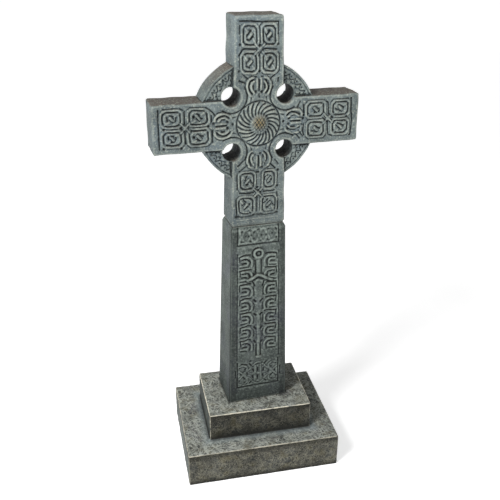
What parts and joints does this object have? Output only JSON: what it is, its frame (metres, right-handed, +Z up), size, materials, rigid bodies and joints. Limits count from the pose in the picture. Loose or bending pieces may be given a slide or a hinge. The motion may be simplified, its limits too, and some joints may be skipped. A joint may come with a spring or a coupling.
{
  "type": "celtic cross gravestone",
  "caption": "Garden grave marker: a ringed Celtic cross with carved knotwork on a tapered shaft with a key pattern and a hooded figure, standing on a stepped base",
  "frame": {"origin": "the middle of the base's underside, on the ground", "axes": "+Z is up the cross, -Y is the carved front, +X is to the right of someone who looks at the front"},
  "size_m": [0.3218, 0.201, 0.7606],
  "materials": {
    "base_stone": "moulded stone resin with a hatched texture, bronze-brown, rubbed pale at its edges",
    "shaft_stone": "moulded stone resin, weathered grey-green with dark grooves",
    "cross_stone": "moulded stone resin, weathered grey-green with dark grooves"
  },
  "bodies": {
    "root": {"stepped_base": "base_stone", "shaft": "shaft_stone", "cross_head": "cross_stone"}
  },
  "joints": []
}
